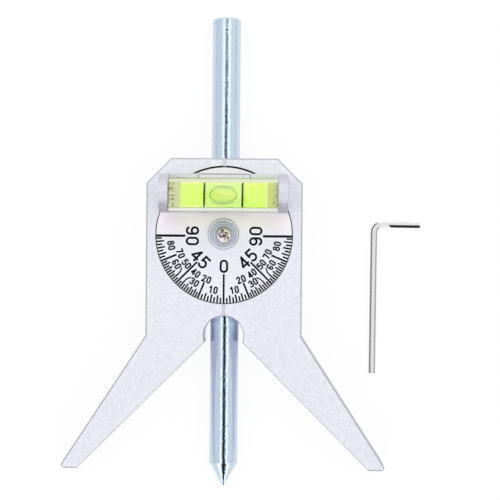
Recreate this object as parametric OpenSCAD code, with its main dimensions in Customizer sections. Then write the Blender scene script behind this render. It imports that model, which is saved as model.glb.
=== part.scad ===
// Pipe center finder: a V-legged aluminium head with a sliding center punch,
// a turning degree dial that carries a level vial, and its hex key.
// Millimetres. The head lies on its back: Z points out of the dial, Y to the
// punch's striking end, and the origin is on the back face under the dial's pivot.

/* [Head] */
// Width of the head between its straight sides
head_w = 56; // [54:0.5:64]
// Thickness of the head and of its legs
head_t = 19; // [18.8:0.2:24]
// Distance from the dial's pivot to the head's top edge
head_top = 27.6; // [26.5:0.1:36]
// Length of each corner cut at the top of the head, measured along the edge
head_corner = 8.9; // [4:0.1:10]
// Distance from the pivot down to where the sides turn out into the legs
leg_root = 36.2; // [32:0.1:42]
// Distance from the pivot down to the flat ends of the feet
foot_drop = 83.9; // [76:0.1:100]
// Width of each foot between the V face and the outer corner, before it is rounded
foot_w = 6.7; // [6:0.1:9]
// Radius of the rounded outer corner of each foot
foot_round = 1.2; // [0.8:0.1:1.6]
// Distance from the pivot down to the apex of the 90 degree V
v_apex = 31.6; // [30:0.1:33.5]
// Radius of the relief arch at the apex of the V
arch_r = 7.2; // [6.8:0.1:9]
// Distance from the pivot down to the centre of the relief arch
arch_drop = 36; // [35.5:0.1:38]
// Bevel on the arch's two edges
arch_bevel = 0.2; // [0.1:0.05:0.5]
// Bevel on the straight edges of the front and back faces
head_bevel = 0.5; // [0.2:0.1:0.7]
// Width of the engraved index lines above and below the dial
index_w = 0.7; // [0.3:0.1:1]
// Depth of the engraved index lines
index_depth = 0.3; // [0.15:0.05:0.5]

/* [Center punch] */
// Diameter of the punch
punch_d = 10.3; // [8:0.1:10.4]
// Length of the punch from its striking end to its point
punch_len = 170.3; // [150:0.1:200]
// Distance that the punch's point stands out past the feet at rest
punch_reach = 7.5; // [2:0.1:20]
// Included angle of the punch's point in degrees
punch_point = 60; // [50:1:90]
// Chamfer around the striking end
punch_chamfer = 0.6; // [0.2:0.1:1.2]
// Radial running clearance of the punch in its bore
punch_fit = 0.05; // [0.02:0.01:0.1]
// Height of the punch's axis above the back face
punch_z = 8; // [7.2:0.1:8.3]

/* [Dial] */
// Radius of the dial
dial_r = 24.3; // [22.5:0.1:25.2]
// Thickness of the dial
dial_t = 2.6; // [2.3:0.1:2.8]
// Radial gap between the dial and its recess
dial_gap = 0.35; // [0.2:0.05:0.5]
// Depth of the engraved graduations and numbers
mark_depth = 0.25; // [0.1:0.05:0.4]

/* [Dial pivot] */
// Thread diameter of the pivot screw
pivot_screw_d = 3; // [2.5:0.1:3.2]
// Length of the pivot screw under its head
pivot_screw_len = 5; // [4.4:0.1:5.2]
// Diameter of the pivot screw's pan head
pan_d = 5.8; // [5:0.1:6.4]
// Height of the pivot screw's pan head
pan_h = 1.9; // [1.6:0.1:2.4]
// Outer diameter of the bush that the dial turns on
bush_d = 5.2; // [4.8:0.1:6]
// Running clearance of the dial on its bush and under its washer
bush_fit = 0.05; // [0.02:0.01:0.1]
// Outer diameter of the dished washer
cup_d = 11; // [9:0.1:11.4]
// Diameter of the dished washer's hole, which leaves it some play on the screw
cup_hole_d = 4.2; // [4:0.1:4.6]
// Height of the dished washer's rim
cup_h = 0.5; // [0.4:0.05:1]
// Outer diameter of the friction washer under the dial
friction_washer_d = 15; // [12:0.5:18]
// Thickness of the friction washer under the dial
friction_washer_t = 0.4; // [0.3:0.05:0.6]

/* [Vial holder] */
// Distance from the pivot to the holder's nearer edge
holder_near = 8; // [7:0.1:9]
// Thickness of the holder's plate
holder_t = 1.6; // [1.2:0.1:2.4]
// Gap between the holder's plate and the face of the head
holder_gap = 0.4; // [0.3:0.05:0.8]
// Width of each upright post at the vial's ends
post_w = 3.4; // [2.5:0.1:5]
// Depth of each post, from the holder's nearer edge
post_depth = 13.6; // [12.5:0.1:14]
// Width of the holder's middle pad, which stands on the dial and carries the vial
pad_w = 18.8; // [16:0.1:22]
// Depth of the holder's plate and of its middle pad, from the nearer edge
pad_depth = 14; // [13:0.1:16]
// Radius of the middle pad's upright corners
pad_corner = 1.4; // [0.5:0.1:2]
// Height of the middle pad over the holder's plate
pad_h = 0.4; // [0.2:0.05:0.8]
// Thread diameter of the screws that hold the holder to the dial
holder_screw_d = 2; // [1.6:0.1:2.4]
// Distance between the two holder screws
holder_screw_gap = 12; // [9:0.5:14]

/* [Level vial] */
// Length of the vial block
vial_len = 38.7; // [34:0.1:42]
// Width and height of the vial block
vial_w = 11.9; // [11:0.1:13]
// Radius of the vial block's upright corners
vial_corner = 1; // [0.5:0.1:1.4]
// Diameter of the bore that holds the liquid
vial_bore_d = 8.8; // [8:0.1:9.2]
// Length of the plug that closes the bore
plug_len = 4.4; // [2.5:0.1:5]
// Thickness of the block's closed end
vial_end = 2.2; // [1.6:0.1:3.5]
// Distance between the two level lines
line_gap = 13.3; // [11.5:0.1:16]
// Width of each level line
line_w = 0.6; // [0.4:0.05:0.9]
// Length of the air bubble
bubble_len = 9.6; // [6:0.1:10.5]
// Diameter of the air bubble
bubble_d = 3.9; // [3:0.1:4.5]

/* [Set screws] */
// Thread diameter of the two set screws
set_d = 4; // [4:0.5:5]
// Length of each set screw
set_len = 8; // [6:0.5:10]
// Distance of the dial's lock screw to the left of the pivot
lock_x = 14; // [12:0.1:16]
// Distance of the dial's lock screw below the pivot
lock_y = 12; // [10:0.1:14]
// Gap between the lock screw's tip and the dial when the dial is free
lock_gap = 0.3; // [0.2:0.05:0.5]
// Distance of the punch's drag screw below the pivot
drag_y = 12; // [0:0.5:20]
// Length of the drag screw's nylon pad
drag_pad_len = 4; // [2.5:0.1:6]

/* [Hex key] */
// Size of the key across its flats
key_af = 2; // [1.8:0.1:2]
// Length of the key's long arm, over the bend
key_long = 56; // [50:0.5:64]
// Length of the key's short arm, over the bend
key_short = 18; // [14:0.5:22]
// Radius of the key's bend at the middle of the bar
key_bend = 3; // [2.4:0.1:5]
// Distance of the key's long arm to the right of the pivot
key_x = 54.6; // [50:0.1:80]
// Distance of the key's short arm above the pivot
key_y = 4.7; // [0:0.1:20]
// Turn of the key from square, in degrees
key_turn = 0.4; // [0:0.1:5]

/* [Hidden] */

// Overrun of every cut past the face that it opens
over = 1;
// Clearance between a screw's thread and the hole that it is driven into
thread_gap = 0.02;
// Clearance between pieces that are bonded or pushed together
seat_gap = 0.03;
// Number of sides that smooth round shapes are drawn with
$fn = 96;

// Head
head_half = head_w / 2;
v_angle = 90;
foot_in = (foot_drop - v_apex) * tan(v_angle / 2);
foot_out = foot_in + foot_w;

// Punch
punch_r = punch_d / 2;
punch_bore_r = punch_r + punch_fit;
punch_tip_y = -foot_drop - punch_reach;
point_len = punch_r / tan(punch_point / 2);

// Dial, which is flush with the front of the head
dial_under = head_t - dial_t;
recess_r = dial_r + dial_gap;
recess_floor = dial_under - friction_washer_t;

// Pivot: the bush stands on the recess floor, and the washer stands on the bush, off its middle within its play
pivot_r = pivot_screw_d / 2;
bush_r = bush_d / 2;
bush_top = head_t + bush_fit;
cup_r = cup_d / 2;
cup_hole_r = cup_hole_d / 2;
cup_web = 0.3;
cup_lip = 0.2;
cup_place_shares = [-0.5, 0.85];
cup_place = (cup_hole_r - pivot_r - seat_gap) * cup_place_shares;
pan_seat = bush_top + cup_web;
pan_r = pan_d / 2;
pivot_tip = pan_seat - pivot_screw_len;
pivot_hole_spare = 0.15;

// Phillips recess, and its turn at rest in degrees
cross_turn = 25;
cross_w = 0.8;
cross_span = 3.2;
cross_depth = 1.2;
cross_core_r = 0.8;
dome_share = 0.25;

// Holder
holder_z = head_t + holder_gap;
holder_top = holder_z + holder_t;
vial_z = holder_top + pad_h;
post_in = vial_len / 2 + seat_gap;
post_out = post_in + post_w;
post_mid_y = holder_near + post_depth / 2;
holder_screw_r = holder_screw_d / 2;
holder_screw_y = holder_near + pad_depth / 2;
holder_screw_cover = 0.3;
holder_screw_tip = holder_z + holder_t - holder_screw_cover;
flat_head_share = 0.95;
flat_head_r = holder_screw_d * flat_head_share;
flat_head_h = flat_head_r - holder_screw_r;
flat_head_sink = 0.05;
flat_slot_w = 0.4;

// Vial
vial_mid_y = holder_near + vial_w / 2;
vial_mid_z = vial_z + vial_w / 2;
vial_r = vial_bore_d / 2;
liquid_r = vial_r - seat_gap;
liquid_from = plug_len - vial_len / 2;
liquid_to = vial_len / 2 - vial_end;
line_depth = 0.15;
line_in_r = liquid_r - line_depth;
bubble_r = bubble_d / 2;
bubble_cover = 0.12;
bubble_z = vial_mid_z + liquid_r - bubble_cover - bubble_r;
plug_groove_w = 0.8;
plug_groove_depth = 0.4;

// Set screws, which the hex key turns
set_r = set_d / 2;
set_socket_gap = 0.06;
set_socket_depth = 2.5;
set_chamfer = 0.4;
lock_tip_r = 1.1;
lock_tip_len = 2;
lock_tip_out = 1;
lock_tip_top = dial_under - lock_gap;
drag_pad_gap = 0.15;
drag_pad_r = set_r - drag_pad_gap;
drag_face = punch_r + punch_fit;

// Graduations: a tick at every 2.5 of the scale, whose four zones hold 8, 10, 10 and 8 ticks
mark_step = 2.5;
mark_max = 90;
tick_w = 0.61;
tick_short = 1.9;
tick_long = 2.7;
zone_tick = 5.95;
main_tick = 10.4;
mid_tick = 10.75;
side_drop = 0.25;
main_tick_w = 0.7;
side_tick_w = 0.86;
zone_values = [0, 20, 45, 70, 90];
zone_angles = [0, 22.5, 45, 67.5, 90];

// Numbers, whose round stroke ends are a little wider than the strokes
end_share = 1.04;
small_h = 2.7;
small_w = 1.54;
small_gap = 0.24;
small_stroke = 0.57;
big_h = 4.8;
big_w = 3.06;
big_gap = 0.7;
big_stroke = 0.78;
// Straight strokes of each digit from 0 to 9, as pairs of places
digit_bar_shares = [
    [[[1, 0, 1], [1, 1, -1]], [[-1, 0, 1], [-1, 1, -1]]],
    [[[0.3, 0, 0], [0.3, 1, 0]], [[0.3, 1, 0], [-0.6, 1, -0.8]]],
    [[[0.82, 1, -1.57], [-1, 0, 0]], [[-1, 0, 0], [1, 0, 0]]],
    [],
    [[[0.6, 0, 0], [0.6, 1, 0]], [[0.6, 1, 0], [-1.1, 0.26, 0]], [[-1.1, 0.26, 0], [1.1, 0.26, 0]]],
    [[[-0.75, 1, 0], [0.9, 1, 0]], [[-0.75, 1, 0], [-0.85, 0.52, 0]]],
    [[[-1, 0, 1], [-1, 1, -1]]],
    [[[-1, 1, 0], [1, 1, 0]], [[1, 1, 0], [-0.3, 0, 0]]],
    [],
    [[[1, 0, 1], [1, 1, -1]]]
];
// Round strokes of each digit: centre, radius as shares of the height and the half width, and two angles
digit_bow_shares = [
    [[[0, 0, 1], [0, 1], 180, 360], [[0, 1, -1], [0, 1], 0, 180]],
    [],
    [[[0, 1, -1], [0, 1], -35, 170]],
    [[[0, 0.77, 0], [0.23, 0], -90, 150], [[0, 0.27, 0], [0.27, 0], -150, 90]],
    [],
    [[[-0.05, 0.31, 0], [0.31, 0], -140, 130]],
    [[[0, 0, 1], [0, 1], 0, 180], [[0, 0, 1], [0, 1], 180, 360], [[0, 1, -1], [0, 1], 25, 180]],
    [],
    [
        [[0, 0.27, 0], [0.27, 0], 0, 180], [[0, 0.27, 0], [0.27, 0], 180, 360],
        [[0, 0.77, 0], [0.23, 0], 0, 180], [[0, 0.77, 0], [0.23, 0], 180, 360]
    ],
    [[[0, 1, -1], [0, 1], 0, 180], [[0, 1, -1], [0, 1], 180, 360], [[0, 0, 1], [0, 1], -155, 0]]
];
// Each small number: its value, its angle, and its distance from the dial's rim
inner_row = 7.4;
outer_row = 4.4;
last_row = 5;
label_places = [
    [10, 11, outer_row], [20, 21.5, inner_row], [30, 32, outer_row], [40, 36.6, inner_row],
    [50, 52.4, inner_row], [60, 58.3, outer_row], [70, 67, inner_row], [80, 78.8, last_row]
];
big_row = 12.95;
mid_row = 12.35;
zero_row = 13.2;
// Leaders from the ticks at 40 and 50 to their numbers: angle and distance from the rim
leader_starts = [2.7, 4, 5.1];
leader_angles = [40.5, 40, 37.9];
leader_mid = 45;
leader_w = 0.5;

// Rounded outer corner of the right foot, from the leg's outer edge to the foot's flat end
foot_steps = 5;
foot_turn = 180 - atan2(foot_drop - leg_root, foot_out - head_half);
foot_run = foot_round * tan(foot_turn / 2);
foot_arc = [for (k = [0 : foot_steps])
    let (a = foot_turn * (1 - k / foot_steps) - 90)
    [foot_out - foot_run + foot_round * cos(a), foot_round * (1 + sin(a)) - foot_drop]];

// Outline of the head, clockwise from above, and the same outline drawn in by a distance
half_outline = concat(
    [
        [head_half - head_corner, head_top],
        [head_half, head_top - head_corner],
        [head_half, -leg_root]
    ],
    foot_arc,
    [[foot_in, -foot_drop]]
);
half_count = len(half_outline);
outline = concat(
    half_outline,
    [[0, -v_apex]],
    [for (i = [1 : half_count]) [-half_outline[half_count - i].x, half_outline[half_count - i].y]]
);
count = len(outline);
function normal(i) =
    let (a = outline[i % count], b = outline[(i + 1) % count], d = (b - a) / norm(b - a))
    [d.y, -d.x];
function drawn_in(i, by) =
    let (n1 = normal((i + count - 1) % count), n2 = normal(i))
    outline[i] + by * (n1 + n2) / (1 + n1 * n2);
function layer(z, by) = [for (i = [0 : count - 1]) [drawn_in(i, by).x, drawn_in(i, by).y, z]];

function scale_angle(v) = lookup(v, [for (i = [0 : len(zone_values) - 1]) [zone_values[i], zone_angles[i]]]);

// The outline's corners, in five convex pieces that make up the plate and its two legs
apex = half_count;
pieces = [
    [0, 1, 2, apex],
    [for (i = [2 : apex]) i],
    [0, apex, count - 1],
    [for (i = [apex : count - 3]) i],
    [apex, count - 3, count - 2, count - 1]
];

// The plate with its legs, bevelled along every straight edge
module head_blank() {
    side = [for (k = [0 : 2], i = [0 : count - 1])
        let (j = (i + 1) % count)
        [k * count + j, (k + 1) * count + j, (k + 1) * count + i, k * count + i]];
    polyhedron(
        points = concat(
            layer(0, head_bevel), layer(head_bevel, 0),
            layer(head_t - head_bevel, 0), layer(head_t, head_bevel)
        ),
        faces = concat(
            [for (p = pieces) [for (i = [1 : len(p)]) p[len(p) - i]]],
            side,
            [for (p = pieces) [for (i = p) 3 * count + i]]
        )
    );
}

// A tapped hole for a set screw, along +Z
module set_hole(length) {
    cylinder(h = length, r = set_r + thread_gap);
}

module head_body() {
    color("gainsboro")
    difference() {
        head_blank();
        translate([0, 0, recess_floor])
            cylinder(h = head_t - recess_floor + over, r = recess_r);
        translate([0, -arch_drop, -over])
            cylinder(h = head_t + 2 * over, r = arch_r);
        translate([0, -arch_drop, head_t - arch_bevel])
            cylinder(h = arch_bevel + over, r1 = arch_r, r2 = arch_r + arch_bevel + over);
        translate([0, -arch_drop, -over])
            cylinder(h = arch_bevel + over, r1 = arch_r + arch_bevel + over, r2 = arch_r);
        translate([0, head_top + over, punch_z])
            rotate([90, 0, 0])
                cylinder(h = head_top + arch_drop + over, r = punch_bore_r);
        translate([0, 0, pivot_tip - pivot_hole_spare])
            cylinder(h = recess_floor - pivot_tip + pivot_hole_spare + over, r = pivot_r + thread_gap);
        translate([-lock_x, -lock_y, -over])
            set_hole(recess_floor + 2 * over);
        translate([0, -drag_y, punch_z])
            rotate([0, 90, 0])
                set_hole(head_half + over);
        translate([-index_w / 2, recess_r - over, head_t - index_depth])
            cube([index_w, head_top - recess_r + 2 * over, index_depth + over]);
        translate([-index_w / 2, arch_r - arch_drop - over, head_t - index_depth])
            cube([index_w, arch_drop - arch_r - recess_r + 2 * over, index_depth + over]);
    }
}

module center_punch() {
    color("lightsteelblue")
    translate([0, punch_tip_y, punch_z])
        rotate([-90, 0, 0])
            union() {
                cylinder(h = point_len, r1 = 0, r2 = punch_r);
                translate([0, 0, point_len])
                    cylinder(h = punch_len - point_len - punch_chamfer, r = punch_r);
                translate([0, 0, punch_len - punch_chamfer])
                    cylinder(h = punch_chamfer, r1 = punch_r, r2 = punch_r - punch_chamfer);
            }
}

// A straight stroke between two points, with round ends
module bar(a, b, w, end_w) {
    d = b - a;
    translate(a)
        rotate(atan2(d.y, d.x))
            translate([0, -w / 2])
                square([norm(d), w]);
    translate(a) circle(d = end_w);
    translate(b) circle(d = end_w);
}

// A round stroke of a number about a centre, from one angle on to another, with round ends
module bow(c, r, from, to, w) {
    steps = 6;
    translate(c) {
        intersection() {
            difference() {
                circle(r = r + w / 2);
                circle(r = r - w / 2);
            }
            polygon(concat([[0, 0]],
                [for (i = [0 : steps]) let (a = from + (to - from) * i / steps) 2 * r * [cos(a), sin(a)]]));
        }
        rotate(from) translate([r, 0]) circle(d = w);
        rotate(to) translate([r, 0]) circle(d = w);
    }
}

// A place in a digit: its shares of the half width, of the height, and of the half width again
function place(p, r, t) = [p[0] * r, p[1] * t + p[2] * r];

// One digit, drawn with strokes about its middle
module digit(n, h, w, s) {
    r = (w - s) / 2;
    t = h - s;
    translate([0, -t / 2]) {
        for (b = digit_bar_shares[n])
            bar(place(b[0], r, t), place(b[1], r, t), s, s * end_share);
        for (b = digit_bow_shares[n])
            bow(place(b[0], r, t), b[1][0] * t + b[1][1] * r, b[2], b[3], s);
    }
}

// A number of two digits, read from left to right
module number(n, h, w, gap, s) {
    translate([-(w + gap) / 2, 0]) digit(floor(n / 10), h, w, s);
    translate([(w + gap) / 2, 0]) digit(n % 10, h, w, s);
}

// A mark from the rim inwards at one angle from the dial's lowest point
module tick(angle, length, w) {
    rotate(angle)
        translate([-w / 2, -dial_r - over])
            square([w, length + over]);
}

function tick_length(i) =
    let (v = i * mark_step)
    v == 0 || v == mark_max ? main_tick
    : v == leader_mid ? mid_tick
    : len(search(v, zone_values)) > 0 ? zone_tick
    : i % 2 == 0 ? tick_long : tick_short;
// The marks at both ends of the scale lie a little below the pivot
function drop(v) = v == mark_max ? side_drop : 0;
function tick_width(i) =
    i * mark_step == mark_max ? side_tick_w : i == 0 || tick_length(i) > tick_long ? main_tick_w : tick_w;

module dial_marks() {
    tick(0, tick_length(0), tick_width(0));
    for (side = [-1, 1]) {
        for (i = [1 : mark_max / mark_step])
            translate([0, -drop(i * mark_step)])
                tick(side * scale_angle(i * mark_step), tick_length(i), tick_width(i));
        for (p = label_places)
            rotate(side * p[1]) translate([0, p[2] - dial_r])
                number(p[0], small_h, small_w, small_gap, small_stroke);
        for (v = [45, mark_max])
            translate([0, -drop(v)])
                rotate(side * v)
                    translate([0, (v == mark_max ? big_row : mid_row) - dial_r])
                        number(v, big_h, big_w, big_gap, big_stroke);
        for (flip = [-1, 1], k = [0, 1])
            bar(leader_point(side, flip, k), leader_point(side, flip, k + 1), leader_w, leader_w * end_share);
    }
    translate([0, zero_row - dial_r]) digit(0, big_h, big_w, big_stroke);
}
function leader_point(side, flip, k) =
    let (angle = side * (leader_mid + flip * (leader_mid - leader_angles[k])))
    (dial_r - leader_starts[k]) * [sin(angle), -cos(angle)];

// Both holder screws' places, above the pivot
module at_holder_screws() {
    for (side = [-1, 1])
        translate([side * holder_screw_gap / 2, holder_screw_y, 0])
            children();
}

module dial() {
    color("ghostwhite")
    difference() {
        translate([0, 0, dial_under])
            cylinder(h = dial_t, r = dial_r);
        translate([0, 0, dial_under - over])
            cylinder(h = dial_t + 2 * over, r = bush_r + bush_fit);
        at_holder_screws() {
            translate([0, 0, dial_under - over])
                cylinder(h = dial_t + 2 * over, r = holder_screw_r + seat_gap);
            translate([0, 0, dial_under - over])
                cylinder(h = flat_head_sink + over, r = flat_head_r + seat_gap);
            translate([0, 0, dial_under + flat_head_sink])
                cylinder(h = flat_head_h, r1 = flat_head_r + seat_gap, r2 = holder_screw_r + seat_gap);
        }
        translate([0, 0, head_t - mark_depth])
            linear_extrude(mark_depth + over)
                dial_marks();
    }
}

// A dished washer: a flat web under the screw's head, with a raised lip around it
module dial_washer() {
    color("lightsteelblue")
    translate([cup_place.x, cup_place.y, bush_top])
        rotate_extrude()
            polygon([
                [cup_hole_r, 0], [cup_r, 0], [cup_r, cup_h - cup_lip], [cup_r - cup_lip, cup_h],
                [cup_r - 2 * cup_lip, cup_h], [cup_r - 3 * cup_lip, cup_web], [cup_hole_r, cup_web]
            ]);
}

module dial_screw() {
    dome_r = (pan_r * pan_r + pan_h * pan_h) / (2 * pan_h);
    color("silver")
    difference() {
        union() {
            translate([0, 0, pivot_tip])
                cylinder(h = pivot_screw_len + pan_h / 2, r = pivot_r);
            translate([0, 0, pan_seat])
                intersection() {
                    cylinder(h = pan_h, r = pan_r);
                    translate([0, 0, pan_h - dome_r + pan_h * dome_share]) sphere(r = dome_r);
                }
        }
        translate([0, 0, pan_seat + pan_h - cross_depth]) {
            for (turn = [0, 90])
                rotate(turn + cross_turn)
                    translate([-cross_span / 2, -cross_w / 2, 0])
                        cube([cross_span, cross_w, cross_depth + over]);
            cylinder(h = cross_depth + over, r = cross_core_r);
        }
    }
}

module dial_bush() {
    color("silver")
    translate([0, 0, recess_floor])
        difference() {
            cylinder(h = bush_top - recess_floor, r = bush_r);
            translate([0, 0, -over])
                cylinder(h = bush_top - recess_floor + 2 * over, r = pivot_r + thread_gap);
        }
}

module dial_friction_washer() {
    color("gray")
    translate([0, 0, recess_floor])
        difference() {
            cylinder(h = friction_washer_t, d = friction_washer_d);
            translate([0, 0, -over])
                cylinder(h = friction_washer_t + 2 * over, r = bush_r + bush_fit);
        }
}

// A rectangle from the origin with rounded corners
module soft_rectangle(w, d, r) {
    translate([r, 0]) square([w - 2 * r, d]);
    translate([0, r]) square([w, d - 2 * r]);
    for (x = [r, w - r], y = [r, d - r])
        translate([x, y]) circle(r = r);
}

// The plate that carries the vial, with a middle pad that stands on the dial and two crowned posts
module vial_holder() {
    color("gainsboro")
    difference() {
        union() {
            translate([-post_out, holder_near, holder_z])
                cube([2 * post_out, pad_depth, holder_t]);
            translate([-pad_w / 2, holder_near, head_t])
                linear_extrude(vial_z - head_t)
                    soft_rectangle(pad_w, pad_depth, pad_corner);
            for (side = [-1, 1])
                translate([side < 0 ? -post_out : post_in, 0, 0]) {
                    translate([0, holder_near, holder_z])
                        cube([post_w, post_depth, vial_mid_z - holder_z]);
                    translate([0, post_mid_y, vial_mid_z])
                        rotate([0, 90, 0])
                            cylinder(h = post_w, r = post_depth / 2);
                }
        }
        at_holder_screws()
            translate([0, 0, head_t - over])
                cylinder(h = holder_screw_tip - head_t + over + seat_gap, r = holder_screw_r + thread_gap);
    }
}

module holder_screws() {
    color("silver")
    at_holder_screws()
        difference() {
            union() {
                translate([0, 0, dial_under + flat_head_sink])
                    cylinder(h = flat_head_h, r1 = flat_head_r, r2 = holder_screw_r);
                translate([0, 0, dial_under + flat_head_sink])
                    cylinder(h = holder_screw_tip - dial_under - flat_head_sink, r = holder_screw_r);
            }
            for (turn = [0, 90])
                rotate(turn)
                    translate([-holder_screw_r, -flat_slot_w / 2, dial_under + flat_head_sink - over])
                        cube([holder_screw_d, flat_slot_w, flat_head_h / 2 + over]);
        }
}

// A rod along X at the middle of the vial, between two places
module vial_rod(from, to, r) {
    translate([from, vial_mid_y, vial_mid_z])
        rotate([0, 90, 0])
            cylinder(h = to - from, r = r);
}

module vial_body() {
    color("honeydew")
    difference() {
        translate([-vial_len / 2, vial_mid_y - vial_w / 2, vial_z])
            linear_extrude(vial_w)
                soft_rectangle(vial_len, vial_w, vial_corner);
        vial_rod(-vial_len / 2 - over, liquid_to, vial_r);
    }
}

module vial_end_plug() {
    color("darkkhaki")
    difference() {
        vial_rod(-vial_len / 2, liquid_from, liquid_r);
        difference() {
            vial_rod(liquid_from - 2 * plug_groove_w, liquid_from - plug_groove_w, vial_r + over);
            vial_rod(
                liquid_from - 2 * plug_groove_w - over, liquid_from - plug_groove_w + over,
                liquid_r - plug_groove_depth
            );
        }
    }
}

module line_ring(side) {
    x = side * line_gap / 2;
    difference() {
        vial_rod(x - line_w / 2, x + line_w / 2, liquid_r);
        vial_rod(x - line_w / 2 - over, x + line_w / 2 + over, line_in_r);
    }
}

module vial_lines() {
    color("black")
    for (side = [-1, 1]) line_ring(side);
}

// The liquid fills the bore around the bubble, and is let in for the level lines
module vial_liquid() {
    run = bubble_len / 2 - bubble_r;
    color("greenyellow")
    difference() {
        vial_rod(liquid_from, liquid_to, liquid_r);
        for (side = [-1, 1])
            difference() {
                vial_rod(side * line_gap / 2 - line_w / 2, side * line_gap / 2 + line_w / 2, liquid_r + over);
                vial_rod(
                    side * line_gap / 2 - line_w / 2 - over, side * line_gap / 2 + line_w / 2 + over,
                    line_in_r
                );
            }
        translate([-run, vial_mid_y, bubble_z])
            rotate([0, 90, 0])
                cylinder(h = 2 * run, r = bubble_r);
        for (side = [-1, 1])
            translate([side * run, vial_mid_y, bubble_z]) sphere(r = bubble_r);
    }
}

// A set screw along +Z with its hex socket at the bottom
module set_screw(length, bore_r, bore_depth) {
    difference() {
        union() {
            cylinder(h = set_chamfer, r1 = set_r - set_chamfer, r2 = set_r);
            translate([0, 0, set_chamfer])
                cylinder(h = length - 2 * set_chamfer, r = set_r);
            translate([0, 0, length - set_chamfer])
                cylinder(h = set_chamfer, r1 = set_r, r2 = set_r - set_chamfer);
        }
        translate([0, 0, -over])
            cylinder(h = set_socket_depth + over, r = (key_af + set_socket_gap) / sqrt(3), $fn = 6);
        if (bore_depth > 0)
            translate([0, 0, length - bore_depth])
                cylinder(h = bore_depth + over, r = bore_r);
    }
}

module dial_lock_screw() {
    color("dimgray")
    translate([-lock_x, -lock_y, lock_tip_top - lock_tip_out - set_len])
        set_screw(set_len, lock_tip_r + seat_gap, lock_tip_len - lock_tip_out);
}

module dial_lock_tip() {
    color("goldenrod")
    translate([-lock_x, -lock_y, lock_tip_top - lock_tip_len])
        cylinder(h = lock_tip_len, r = lock_tip_r);
}

module punch_drag_screw() {
    color("dimgray")
    translate([drag_face + drag_pad_len + set_len, -drag_y, punch_z])
        rotate([0, -90, 0])
            set_screw(set_len, 0, 0);
}

module punch_drag_pad() {
    color("ivory")
    translate([drag_face, -drag_y, punch_z])
        rotate([0, 90, 0])
            cylinder(h = drag_pad_len, r = drag_pad_r);
}

module hex_key() {
    bar_r = key_af / sqrt(3);
    color("silver")
    translate([key_x, key_y, key_af / 2])
        rotate(-key_turn)
            union() {
                translate([0, -key_bend, 0])
                    rotate([90, 0, 0])
                        cylinder(h = key_long - bar_r - key_bend, r = bar_r, $fn = 6);
                translate([key_bend, -key_bend, 0])
                    rotate(90)
                        rotate_extrude(angle = 90)
                            translate([key_bend, 0]) circle(r = bar_r, $fn = 6);
                translate([key_bend, 0, 0])
                    rotate([0, 90, 0])
                        rotate(30)
                            cylinder(h = key_short - bar_r - key_bend, r = bar_r, $fn = 6);
            }
}

head_body();
center_punch();
dial();
dial_washer();
dial_screw();
dial_bush();
dial_friction_washer();
vial_holder();
holder_screws();
vial_body();
vial_end_plug();
vial_liquid();
vial_lines();
dial_lock_screw();
dial_lock_tip();
punch_drag_screw();
punch_drag_pad();
hex_key();
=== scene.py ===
"""Pipe center finder: the looks of the aluminium head, the dial, the level vial, the punch and the hex key.

Everything is in metres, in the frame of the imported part: Z points out of the dial, Y to the punch's striking end.
"""
import math

import bmesh
import bpy
from mathutils import Matrix, Vector


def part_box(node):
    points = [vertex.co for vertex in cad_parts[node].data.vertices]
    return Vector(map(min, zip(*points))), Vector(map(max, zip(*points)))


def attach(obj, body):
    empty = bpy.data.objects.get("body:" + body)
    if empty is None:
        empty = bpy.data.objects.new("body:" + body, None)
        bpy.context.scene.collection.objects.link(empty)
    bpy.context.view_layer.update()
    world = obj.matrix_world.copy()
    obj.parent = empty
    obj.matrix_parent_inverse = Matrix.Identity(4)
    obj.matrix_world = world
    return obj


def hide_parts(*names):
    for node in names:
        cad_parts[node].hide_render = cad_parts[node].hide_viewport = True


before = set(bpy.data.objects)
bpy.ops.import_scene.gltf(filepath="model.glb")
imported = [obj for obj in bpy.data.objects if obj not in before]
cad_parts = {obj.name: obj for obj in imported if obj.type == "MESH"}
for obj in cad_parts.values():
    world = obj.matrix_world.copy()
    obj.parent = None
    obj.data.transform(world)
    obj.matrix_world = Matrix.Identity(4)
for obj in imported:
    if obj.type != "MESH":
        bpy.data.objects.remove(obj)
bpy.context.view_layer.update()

MM = 0.001
PIVOT = (0.0, 0.0)

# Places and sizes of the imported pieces
HEAD_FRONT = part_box("head_body")[1].z
DIAL_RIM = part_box("dial")[1].x
RECESS_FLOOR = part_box("dial_friction_washer")[0].z
SCREW_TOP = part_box("dial_screw")[1].z
WASHER_LOW, WASHER_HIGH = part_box("dial_washer")
WASHER_CENTRE = (WASHER_LOW + WASHER_HIGH) / 2
WASHER_R = (WASHER_HIGH.x - WASHER_LOW.x) / 2
BLOCK_LOW, BLOCK_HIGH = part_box("vial_body")
LIQUID_LOW, LIQUID_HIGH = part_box("vial_liquid")
BORE_CENTRE = (LIQUID_LOW + LIQUID_HIGH) / 2
LINES_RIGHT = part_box("vial_lines")[1].x

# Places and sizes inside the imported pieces, as their source has them
ARCH_CENTRE = (0.0, -36 * MM)
ARCH_R = 7.2 * MM
INDEX_HALF_W = 0.35 * MM
DIAL_MARK_DEPTH = 0.25 * MM
PAD_CENTRE = (0.0, 15 * MM)
PAD_HALF_X, PAD_HALF_Y = 9.4 * MM, 7 * MM
KEY_CORNER = (54.6 * MM, 4.7 * MM)
KEY_SLOPE = 0.007
BUBBLE_R = 1.95 * MM
BUBBLE_RUN = 2.85 * MM  # From its middle to the centre of each round end
BUBBLE_COVER = 0.12 * MM


def srgb(r, g, b):
    """A colour given as it looks on the screen, from 0 to 255, as the linear values that shaders take."""
    def linear(v):
        v = v / 255
        return v / 12.92 if v <= 0.04045 else ((v + 0.055) / 1.055) ** 2.4
    return (linear(r), linear(g), linear(b), 1.0)


def grey(value):
    return (value, value, value, 1.0)


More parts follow.
